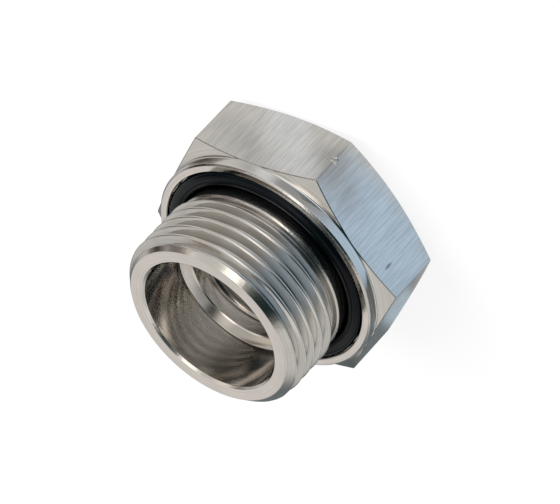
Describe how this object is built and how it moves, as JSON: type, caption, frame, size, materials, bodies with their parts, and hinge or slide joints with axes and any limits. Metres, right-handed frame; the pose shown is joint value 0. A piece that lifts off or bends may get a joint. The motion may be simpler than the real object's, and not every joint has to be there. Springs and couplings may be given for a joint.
{
  "type": "reducing coupling",
  "caption": "Hexagon reducing coupling: a male pipe thread with a captive O-ring under its collar steps down to a smaller female pipe thread in the hexagon.",
  "frame": {"origin": "centre of the hexagon's rear face, where the smaller pipe screws in", "axes": "+Z along both threads towards the male end; one corner of the hexagon on +X"},
  "size_m": [0.0472, 0.041, 0.03],
  "materials": {
    "plated_brass": "bright nickel plate over turned brass",
    "black_rubber": "smooth moulded rubber, slightly shiny"
  },
  "bodies": {
    "root": {"reducer_body": "plated_brass", "o_ring": "black_rubber"}
  },
  "joints": []
}
